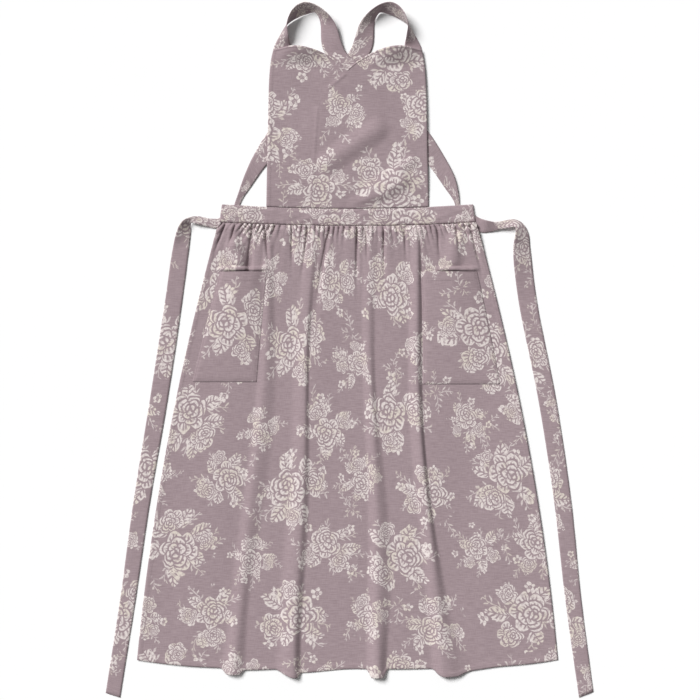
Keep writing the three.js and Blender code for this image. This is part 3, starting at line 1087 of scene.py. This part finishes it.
def sprigs(reach, angle, count, start, size, turn, cell):
    """Thin bent stems with small pointed leaves on both sides."""
    swing, chance, other = sector(angle, count, turn, cell)
    along = reach * cosine(swing)
    past = along - start
    side = reach * sine(swing) + past * past * (chance - 0.5) * SPRIG_BEND
    across = abs(side)
    left = ((other * SPRIG_VARIES + SPRIG_SHORTEST) * size - past) / SPRIG_LEAF
    span = past.step(*STEM_FOOT) * left.step(*STEM_TIP)
    stem = across.step(*STEM)
    run = along / SPRIG_PITCH - across * SPRIG_SLANT + side.step(*STEM_SIDES) * 0.5
    place = abs(fraction(run) - 0.5)
    grown = smaller(left * SPRIG_TIP_GROWTH + SPRIG_TIP_LEAF, 1.0) * SPRIG_LEAF
    leaf_half = sine(smaller(across / grown, 1.0) * math.pi) * SPRIG_LEAF_HALF
    leaves = (leaf_half - place).step(*SPRIG_LEAF_EDGE)
    return larger(stem, leaves) * span


def half_drop(across, along, width, height, wander, layer):
    """Place within the nearest bouquet of a half-drop repeat, turned and moved at random, and its number."""
    slid = across + layer.slide * width
    column = floor(slid / width)
    dropped = along + remainder(column, 2.0) * (height / 2) + layer.shift * height
    row = floor(dropped / height)
    first, second, third = dice(column, row, layer.seed)
    x = slid - (column + 0.5) * width + (second - 0.5) * wander
    y = dropped - (row + 0.5) * height + (third - 0.5) * wander
    turned = x.node(
        "ShaderNodeVectorRotate", {"rotation_type": "Z_AXIS"},
        {"Vector": joined(x, y), "Angle": first * math.tau})
    x, y, _ = parted(turned)
    size = 1 / layer.size
    return x * size, y * size, second


def bouquets(across, along, width, height, wander):
    """Ink of the bouquets, and of the sprigs beside them."""
    x = None
    for layer in LAYERS:
        own = half_drop(across, along, width, height, wander, layer)
        own_reach = radius_of(own[0], own[1]) * layer.size
        if x is None:
            x, y, number = own
            reach = own_reach
        else:
            closer = is_less(own_reach, reach)
            x, y, number = (chosen(closer, old, new) for old, new in zip((x, y, number), own))
            reach = chosen(closer, reach, own_reach)
    reach = radius_of(x, y)
    angle = direction(x, y)
    cell = number * BOUQUET_CELLS
    petals, cover = rose(*nearest_rose(x, y), number)
    leaves = leaf_fan(reach, angle, number, cell)
    florets = floret_ring(reach, angle, number, cell)
    bare = 1 - cover
    ink = larger(leaves, florets) * bare + petals
    fine = sprigs(reach, angle, SPRIGS, SPRIG_START, SPRIG_LENGTH, number + SPRIG_OFFSET, cell) * bare
    return ink, fine, reach


def stray_sprigs(across, along, reach):
    """Ink of the single sprigs, in most cells of their repeat and clear of the bouquets."""
    x, y, number = half_drop(across, along, STRAY_WIDTH, STRAY_HEIGHT, STRAY_WANDER, STRAY_LAYER)
    cell = number * STRAY_CELLS
    ink = sprigs(radius_of(x, y), direction(x, y), STRAY_COUNT, STRAY_START, STRAY_LENGTH, number, cell)
    return ink * reach.step(*STRAY_CLEAR) * number.step(*STRAY_BARE)


def noise(place, kind, output="Fac"):
    return place.node(
        "ShaderNodeTexNoise", {"noise_dimensions": kind.dimensions},
        {"Vector": place, "Scale": kind.scale, "Detail": kind.detail}, output)


def bumped(height, strength, distance):
    return height.node(
        "ShaderNodeBump", {}, {"Strength": strength, "Distance": distance, "Height": height}, "Normal")


def new_material(name):
    """A node material with a shader alone: the material, its tree and its shader."""
    material = bpy.data.materials.new(name)
    material.use_nodes = True
    tree = material.node_tree
    tree.nodes.clear()
    shader = tree.nodes.new("ShaderNodeBsdfPrincipled")
    output = tree.nodes.new("ShaderNodeOutputMaterial")
    tree.links.new(shader.outputs["BSDF"], output.inputs["Surface"])
    return material, tree, shader


def opaque(colour):
    return (*colour, 1.0)


def printed_cotton():
    """Mauve slub cotton with a floral print in cream line work, drawn on the cut cloth's own places."""
    name = "printed cotton"
    if name in bpy.data.materials:
        return bpy.data.materials[name]
    colours = bpy.context.scene.apron_colours
    layout = bpy.context.scene.apron_print
    material, tree, shader = new_material(name)
    places = tree.nodes.new("ShaderNodeUVMap")
    places.uv_map = UV_NAME
    cut = Wire(tree, places.outputs["UV"])
    cut = cut.node("ShaderNodeVectorMath", {"operation": "SCALE"}, {0: cut, "Scale": MILLIMETRES})
    tremble = layout.tremble * MILLIMETRES
    shaken = cut.node(
        "ShaderNodeVectorMath", {"operation": "MULTIPLY_ADD"},
        {0: noise(cut, SHIVER, "Color"), 1: (tremble, tremble, 0.0), 2: cut})
    across, along, _ = parted(shaken)
    width = layout.repeat_width * MILLIMETRES
    height = layout.repeat_height * MILLIMETRES
    wander = layout.wander * MILLIMETRES
    drawn, fine, reach = bouquets(across, along, width, height, wander)
    fine = larger(fine, stray_sprigs(across, along, reach))
    worn = noise(cut, WORN).step(*UNWORN) * WORN_KEEP + (1 - WORN_KEEP)
    ink = larger(drawn * BOUQUET_INK, fine * SPRIG_INK) * worn
    warmth = noise(cut, WARMTH).step(*BEIGE_INK)
    ink_colour = blended(warmth, opaque(colours.cream), opaque(colours.beige))
    cut_x, cut_y, _ = parted(cut)
    slub = noise(joined(cut_x * SLUB_STRETCH[0], cut_y * SLUB_STRETCH[1]), SLUB)
    warp = noise(joined(cut_x * WARP_STRETCH[0], cut_y * WARP_STRETCH[1]), WARP)
    threads = slub * SLUB_SHARE + warp * WARP_SHARE
    ground = blended(threads.step(*LIGHT_CLOTH), opaque(colours.ground_deep), opaque(colours.ground))
    turns = math.tau / WEAVE_PITCH
    weave = sine(cut_x * turns) * sine(cut_y * turns) * WEAVE_HEIGHT + threads + ink * INK_HEIGHT
    fill_sockets(tree, shader, {
        "Base Color": blended(ink * INK_COVER, ground, ink_colour),
        "Roughness": ROUGHEST - threads * THREAD_GLOSS - ink * INK_GLOSS,
        "Normal": bumped(weave, strength=0.35, distance=0.0003),
        "Specular IOR Level": 0.25,
        "Sheen Weight": 0.10,
        "Sheen Roughness": 0.55,
    })
    return material


def sewing_thread():
    """Mauve cotton thread with a fine twist."""
    name = "sewing thread"
    if name in bpy.data.materials:
        return bpy.data.materials[name]
    colours = bpy.context.scene.apron_colours
    material, tree, shader = new_material(name)
    place = Wire(tree, tree.nodes.new("ShaderNodeTexCoord").outputs["Object"])
    twist = noise(place, TWIST)
    fill_sockets(tree, shader, {
        "Base Color": blended(twist.step(*LIGHT_THREAD), opaque(colours.ground_deep), opaque(colours.thread)),
        "Normal": bumped(twist, strength=0.3, distance=0.0001),
        "Roughness": 0.7,
    })
    return material


def floor_paint():
    """Pale matt floor with a faint unevenness."""
    colours = bpy.context.scene.apron_colours
    material, tree, shader = new_material("pale floor")
    place = Wire(tree, tree.nodes.new("ShaderNodeTexCoord").outputs["Object"])
    dull = tuple(FLOOR_DULL * channel for channel in colours.floor)
    fill_sockets(tree, shader, {
        "Base Color": blended(noise(place, CLOUD), opaque(dull), opaque(colours.floor)),
        "Roughness": 0.9,
        "Specular IOR Level": 0.1,
    })
    return material


# A line of stitches: shares of a piece's width and length where it starts and ends, and points along it
Seam = namedtuple("Seam", "across_from along_from across_to along_to points")


def side_seams(inset, low, high, points):
    return tuple(Seam(across, low, across, high, points) for across in (inset, 1 - inset))


def cross_seam(inset, along, points):
    return Seam(inset, along, 1 - inset, along, points)


POCKET_SEAMS = (
    *side_seams(0.022, 0.013, 1.0, 200),
    cross_seam(0.022, 0.013, 200),
    cross_seam(0.022, 0.922, 200),
)
STRIP_SEAMS = (*side_seams(0.08, 0.0, 0.99, 400), cross_seam(0.08, 0.99, 60))
SEAMS = {
    "skirt": (*side_seams(0.0105, 0.012, 1.0, 400), cross_seam(0.010, 0.0125, 800)),
    "bib": (*side_seams(0.022, 0.0, 0.985, 200), cross_seam(0.022, 0.985, 400)),
    "waistband": (
        cross_seam(0.004, 0.08, 400),
        cross_seam(0.004, 0.92, 400),
        Seam(0.7375, 0.08, 0.7375, 0.92, 60),
    ),
    "pocket_left": POCKET_SEAMS,
    "pocket_right": POCKET_SEAMS,
    "strap_left": STRIP_SEAMS,
    "strap_right": STRIP_SEAMS,
    "tie_left": STRIP_SEAMS,
    "tie_right": STRIP_SEAMS,
}


def stitch_tree():
    """Geometry nodes that lay short rounded stitches along seam lines."""
    name = "Stitch Line"
    if name in bpy.data.node_groups:
        return bpy.data.node_groups[name]
    tree = bpy.data.node_groups.new(name, "GeometryNodeTree")
    for socket, kind in (
        ("Seams", "Geometry"), ("Pitch", "Float"), ("Length", "Float"), ("Width", "Float"),
        ("Thread", "Material"),
    ):
        tree.interface.new_socket(socket, in_out="INPUT", socket_type="NodeSocket" + kind)
    tree.interface.new_socket("Stitches", in_out="OUTPUT", socket_type="NodeSocketGeometry")
    new = tree.nodes.new
    start = new("NodeGroupInput")
    curve = new("GeometryNodeMeshToCurve")
    points = new("GeometryNodeCurveToPoints")
    points.mode = "LENGTH"
    stitch = new("GeometryNodeMeshIcoSphere")
    stitch.inputs["Radius"].default_value = 0.5
    stitch.inputs["Subdivisions"].default_value = 1
    turn = new("FunctionNodeAlignRotationToVector")
    turn.axis = "X"
    scale = new("ShaderNodeCombineXYZ")
    place = new("GeometryNodeInstanceOnPoints")
    real = new("GeometryNodeRealizeInstances")
    paint = new("GeometryNodeSetMaterial")
    end = new("NodeGroupOutput")
    for source, output, target, entry in (
        (start, "Seams", curve, "Mesh"),
        (curve, "Curve", points, "Curve"),
        (start, "Pitch", points, "Length"),
        (points, "Points", place, "Points"),
        (stitch, "Mesh", place, "Instance"),
        (points, "Tangent", turn, "Vector"),
        (turn, "Rotation", place, "Rotation"),
        (start, "Length", scale, "X"),
        (start, "Width", scale, "Y"),
        (start, "Width", scale, "Z"),
        (scale, "Vector", place, "Scale"),
        (place, "Instances", real, "Geometry"),
        (real, "Geometry", paint, "Geometry"),
        (start, "Thread", paint, "Material"),
        (paint, "Geometry", end, "Stitches"),
    ):
        tree.links.new(source.outputs[output], target.inputs[entry])
    return tree


def stitched(node, seams):
    """One mesh of stitches along the seams of a piece."""
    name = node + "_stitches"
    wall = WALLS[node]
    sizes = bpy.context.scene.apron_sizes
    places = []
    edges = []
    for seam in seams:
        first = len(places)
        shares = np.linspace(0, 1, seam.points)
        across = mix(seam.across_from, seam.across_to, shares)
        along = mix(seam.along_from, seam.along_to, shares)
        places.extend(on_wall(wall, across, along).tolist())
        edges.extend((number, number + 1) for number in range(first, len(places) - 1))
    seam = bpy.data.meshes.new(name + "_seam")
    seam.from_pydata(places, edges, [])
    piece = bpy.data.objects.new(name, seam)
    bpy.context.scene.collection.objects.link(piece)
    modifier = piece.modifiers.new("Stitches", "NODES")
    modifier.node_group = stitch_tree()
    values = {
        "Pitch": sizes.stitch_pitch,
        "Length": sizes.stitch_length,
        "Width": sizes.thread,
        "Thread": sewing_thread(),
    }
    for item in modifier.node_group.interface.items_tree:
        if item.name in values:
            modifier[item.identifier] = values[item.name]
    bpy.context.view_layer.update()
    evaluated = piece.evaluated_get(bpy.context.evaluated_depsgraph_get())
    mesh = bpy.data.meshes.new_from_object(evaluated)
    piece.modifiers.clear()
    piece.data = mesh
    mesh.name = name
    mesh.polygons.foreach_set("use_smooth", np.ones(len(mesh.polygons), bool))
    if not mesh.polygons:
        raise RuntimeError(f"{name} has no stitches")
    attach(piece, BODY)


# Operators, one for each piece or group of like pieces


class APRON_OT_bib(bpy.types.Operator):
    """Make the bib with its curled neckline and drag folds"""

    bl_idname = "apron.bib"
    bl_label = "Bib"

    def execute(self, context):
        sizes = context.scene.apron_sizes
        across = np.linspace(0, 1, BIB_COLUMNS)
        along = spaced(BIB_ROWS)
        under = bib_point(*np.meshgrid(across, along))
        x, y = under[..., 0], under[..., 1]
        rolled = NECK_ROLL * hump(bib_top(x) - y - NECK_ROLL_HALF, NECK_ROLL_HALF)
        inside = np.abs(x[:, -1:]) - np.abs(x)
        turned = SIDE_HEM_EXTRA * (1 - smooth(inside, TURNING_FULL, TURNING_END))
        thickness = (sizes.cloth + rolled + turned) * edge_thinning(across, along, EDGE_KEEP)
        flat = under[..., :2] + PRINT_SHIFTS["bib"]
        piece = cloth_wall("bib", under, thickness, flat, across, along)
        return {"FINISHED"}


class APRON_OT_waistband(bpy.types.Operator):
    """Make the waistband, soft and slightly wrinkled between its two seams"""

    bl_idname = "apron.waistband"
    bl_label = "Waistband"

    def execute(self, context):
        sizes = context.scene.apron_sizes
        across = np.linspace(0, 1, BAND_COLUMNS)
        along = np.linspace(0, 1, BAND_ROWS)
        u, v = np.meshgrid(across, along)
        under = band_point(u, v)
        x, y = under[..., 0], under[..., 1]
        from_middle = np.abs(2 * v - 1)
        crown = 1 - BAND_CROWN * from_middle ** BAND_CROWN_POWER
        wrinkle = WRINKLE_HEIGHT * waves(x, y, WRINKLE_WAVES) * (1 - from_middle ** WRINKLE_POWER)
        right_end = np.clip(2 * u - 1, 0, 1) ** PULL_POWER
        pull = mix(PULL_LEFT, PULL_RIGHT, right_end) * waves(x, y, PULL_WAVES) * (1 - v) ** 2
        thickness = (sizes.band * crown + wrinkle + pull) * edge_thinning(across, along, BAND_EDGE_KEEP)
        flat = under[..., :2] + PRINT_SHIFTS["waistband"]
        piece = cloth_wall("waistband", under, thickness, flat, across, along)
        return {"FINISHED"}


class APRON_OT_skirt(bpy.types.Operator):
    """Make the gathered skirt with its long folds and its hems"""

    bl_idname = "apron.skirt"
    bl_label = "Skirt"

    def execute(self, context):
        sizes = context.scene.apron_sizes
        across = np.linspace(0, 1, SKIRT_COLUMNS)
        along = 1 - spaced(SKIRT_ROWS)[::-1]
        u, v = np.meshgrid(across, along)
        side = 2 * u - 1
        drop = 1 - v
        under = skirt_point(sizes, side, drop)
        x, y = under[..., 0], under[..., 1]
        hem = 1 - smooth(y - hem_edge(side), HEM_DEPTH - HEM_STEP, HEM_DEPTH)
        side_hem = 1 - smooth(skirt_half(drop) - np.abs(x), SIDE_HEM - HEM_STEP, SIDE_HEM)
        thickness = sizes.cloth + np.maximum(HEM_EXTRA * hem, SIDE_HEM_EXTRA * side_hem)
        thickness = thickness * edge_thinning(across, along, EDGE_KEEP)
        hem_run = np.hypot(np.diff(x[0]), np.diff(under[0, :, 2]))
        cut = np.concatenate(([0], np.cumsum(hem_run)))
        cut = cut - cut[-1] / 2
        flat = np.stack((cut * mix(SKIRT_CUT_TOP, 1, drop), y), axis=-1)
        piece = cloth_wall("skirt", under, thickness, flat, across, along)
        return {"FINISHED"}


class APRON_OT_pockets(bpy.types.Operator):
    """Make the two patch pockets, open at the mouth"""

    bl_idname = "apron.pockets"
    bl_label = "Pockets"

    def execute(self, context):
        sizes = context.scene.apron_sizes
        across = np.linspace(0, 1, POCKET_COLUMNS)
        along = spaced(POCKET_ROWS)
        u, v = np.meshgrid(across, along)
        for pocket in POCKETS:
            under = pocket_point(sizes, pocket, u, v)
            x, y = under[..., 0], under[..., 1]
            hem = 1 - smooth(POCKET_MOUTH - y, POCKET_HEM - POCKET_HEM_STEP, POCKET_HEM)
            from_side = np.minimum(x - x[:, :1], x[:, -1:] - x)
            inside = np.minimum(from_side, y - pocket.low)
            turned = 1 - smooth(inside, TURNING_FULL, TURNING_END)
            thickness = sizes.cloth + POCKET_TURNING * np.maximum(hem, turned)
            thickness = thickness * mix(POCKET_EDGE_KEEP, 1, smooth(inside, 0, POCKET_EDGE))
            flat = under[..., :2] + PRINT_SHIFTS[pocket.name]
            piece = cloth_wall(pocket.name, under, thickness, flat, across, along)
            width = float(np.mean(x[:, -1] - x[:, 0]))
            POCKET_MOUTH - pocket.low
        return {"FINISHED"}


class APRON_OT_straps(bpy.types.Operator):
    """Make the two shoulder straps, which loop over and cross behind the bib"""

    bl_idname = "apron.straps"
    bl_label = "Straps"

    def execute(self, context):
        right_sections = STRAP_SECTIONS[:-len(STRAIGHTER_END)] + STRAIGHTER_END
        strip_wall("strap_left", STRAP_SECTIONS, STRAP_ROWS, CROSSING_LIFT)
        strip_wall("strap_right", mirrored(right_sections), STRAP_ROWS)
        return {"FINISHED"}


class APRON_OT_ties(bpy.types.Operator):
    """Make the two waist ties with their free ends"""

    bl_idname = "apron.ties"
    bl_label = "Ties"

    def execute(self, context):
        strip_wall("tie_left", swapped(TIE_LEFT), TIE_ROWS)
        strip_wall("tie_right", TIE_RIGHT, TIE_ROWS)
        return {"FINISHED"}


class APRON_OT_stitches(bpy.types.Operator):
    """Sew the hems, the waistband, the pockets, the neckline, the straps and the ties"""

    bl_idname = "apron.stitches"
    bl_label = "Stitches"

    def execute(self, context):
        for node, seams in SEAMS.items():
            stitched(node, seams)
        return {"FINISHED"}


class APRON_OT_stage(bpy.types.Operator):
    """Make the floor, the light and the camera"""

    bl_idname = "apron.stage"
    bl_label = "Stage"

    def execute(self, context):
        scene = context.scene
        stage = scene.apron_stage
        mesh = bpy.data.meshes.new("floor")
        half = FLOOR_HALF
        corners = [(-half, -half), (half, -half), (half, half), (-half, half)]
        mesh.from_pydata([(x, y, -FLOOR_DROP) for x, y in corners], [], [(0, 1, 2, 3)])
        mesh.materials.append(floor_paint())
        ground = bpy.data.objects.new("floor", mesh)
        scene.collection.objects.link(ground)
        world = bpy.data.worlds.new("studio")
        world.use_nodes = True
        background = world.node_tree.nodes["Background"].inputs
        background["Color"].default_value = (1.0, 1.0, 1.0, 1.0)
        background["Strength"].default_value = stage.fill
        scene.world = world
        key = bpy.data.lights.new("key", "SUN")
        key.energy = stage.key
        key.angle = stage.softness
        lamp = bpy.data.objects.new("key", key)
        lamp.rotation_mode = "QUATERNION"
        lamp.rotation_quaternion = Vector(KEY_RUN).to_track_quat("-Z", "Y")
        scene.collection.objects.link(lamp)
        lens = bpy.data.cameras.new("camera")
        lens.lens = stage.lens
        camera = bpy.data.objects.new("camera", lens)
        height = stage.view_width * stage.lens / lens.sensor_width
        camera.location = (MIDDLE[0] + CAMERA_SHIFT, MIDDLE[1], height)
        scene.collection.objects.link(camera)
        scene.camera = camera
        scene.view_settings.view_transform = "Standard"
        return {"FINISHED"}


class APRON_PT_pieces(bpy.types.Panel):
    """Pieces, sizes and colours of the apron"""

    bl_idname = "APRON_PT_pieces"
    bl_label = "Apron"
    bl_space_type = "VIEW_3D"
    bl_region_type = "UI"
    bl_category = "Apron"

    def draw(self, context):
        for name in GROUPS:
            box = self.layout.box()
            settings = getattr(context.scene, name)
            for key in settings.bl_rna.properties.keys():
                if key not in ("rna_type", "name"):
                    box.prop(settings, key)
        for operator in OPERATORS:
            self.layout.operator(operator.bl_idname)


GROUPS = {
    "apron_sizes": ApronSizes,
    "apron_colours": ApronColours,
    "apron_print": ApronPrint,
    "apron_stage": ApronStage,
}
OPERATORS = (
    APRON_OT_stage,
    APRON_OT_straps,
    APRON_OT_bib,
    APRON_OT_ties,
    APRON_OT_waistband,
    APRON_OT_skirt,
    APRON_OT_pockets,
    APRON_OT_stitches,
)
CLASSES = (*GROUPS.values(), *OPERATORS, APRON_PT_pieces)


def register():
    for made in CLASSES:
        bpy.utils.register_class(made)
    for name, group in GROUPS.items():
        setattr(bpy.types.Scene, name, PointerProperty(type=group))


def unregister():
    for name in GROUPS:
        delattr(bpy.types.Scene, name)
    for made in reversed(CLASSES):
        bpy.utils.unregister_class(made)


def main():
    register()
    bpy.ops.apron.stage()
    bpy.ops.apron.straps()
    bpy.ops.apron.bib()
    bpy.ops.apron.ties()
    bpy.ops.apron.waistband()
    bpy.ops.apron.skirt()
    bpy.ops.apron.pockets()
    bpy.ops.apron.stitches()


if __name__ == "__main__":
    main()
